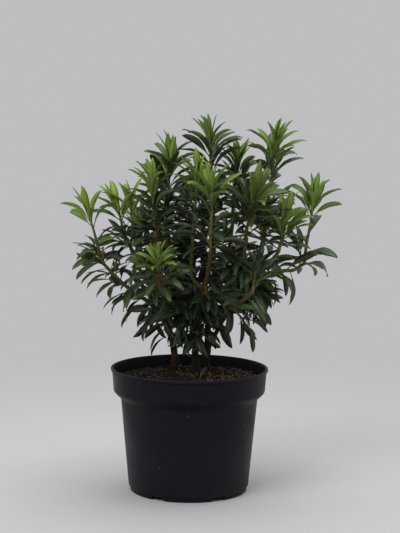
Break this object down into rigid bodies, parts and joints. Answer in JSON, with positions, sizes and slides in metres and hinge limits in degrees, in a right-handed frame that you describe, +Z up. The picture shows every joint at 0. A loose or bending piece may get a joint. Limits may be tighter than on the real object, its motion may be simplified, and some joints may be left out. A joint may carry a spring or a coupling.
{
  "type": "potted mountain laurel shrub",
  "caption": "Young evergreen shrub with whorls of narrow pointed leaves on upright shoots, several woody stems, growing in a round black nursery pot.",
  "frame": {"origin": "middle of the pot's flat underside, where it stands", "axes": "+Z up along the pot's axis to the crown; -Y is the front, +X is to the right seen from the front"},
  "size_m": [0.3454, 0.2659, 0.461],
  "materials": {
    "pot_plastic": "matt moulded black plastic",
    "bark_soil": "damp bark compost",
    "bark": "grey-brown bark",
    "green_stem": "smooth young bark",
    "young_leaves": "satin young leaves",
    "old_leaves": "semi-gloss leathery leaves"
  },
  "bodies": {
    "root": {"bough_back_left": "green_stem", "bough_back_left_high": "green_stem", "bough_back_low_right": "green_stem", "bough_back_middle": "green_stem", "bough_back_of_top": "green_stem", "bough_back_right": "green_stem", "bough_bright_middle": "green_stem", "bough_far_left": "green_stem", "bough_far_right": "green_stem", "bough_front_left": "green_stem", "bough_front_right": "green_stem", "bough_left": "green_stem", "bough_left_high": "green_stem", "bough_right": "green_stem", "bough_right_high": "green_stem", "bough_right_inner": "green_stem", "bough_right_tip": "green_stem", "bough_top": "green_stem", "inner_back": "old_leaves", "inner_back_right": "old_leaves", "inner_front": "old_leaves", "inner_left": "old_leaves", "inner_middle": "old_leaves", "inner_right": "old_leaves", "inner_right_high": "old_leaves", "mass_back_left": "young_leaves", "mass_back_left_high": "young_leaves", "mass_back_low_right": "young_leaves", "mass_back_middle": "young_leaves", "mass_back_of_top": "young_leaves", "mass_back_right": "young_leaves", "mass_back_right_high": "young_leaves", "mass_bright_middle": "young_leaves", "mass_far_left": "young_leaves", "mass_far_right": "young_leaves", "mass_front": "young_leaves", "mass_front_left": "young_leaves", "mass_front_right": "young_leaves", "mass_left": "young_leaves", "mass_left_high": "young_leaves", "mass_left_inner": "young_leaves", "mass_right": "young_leaves", "mass_right_high": "young_leaves", "mass_right_inner": "young_leaves", "mass_top": "young_leaves", "pot": "pot_plastic", "skirt_back": "old_leaves", "skirt_back_left": "old_leaves", "skirt_back_right": "old_leaves", "skirt_front": "old_leaves", "skirt_front_left": "old_leaves", "skirt_front_right": "old_leaves", "skirt_left": "old_leaves", "skirt_right": "old_leaves", "soil": "bark_soil", "stem_back": "bark", "stem_left": "bark", "stem_main": "bark"}
  },
  "joints": []
}
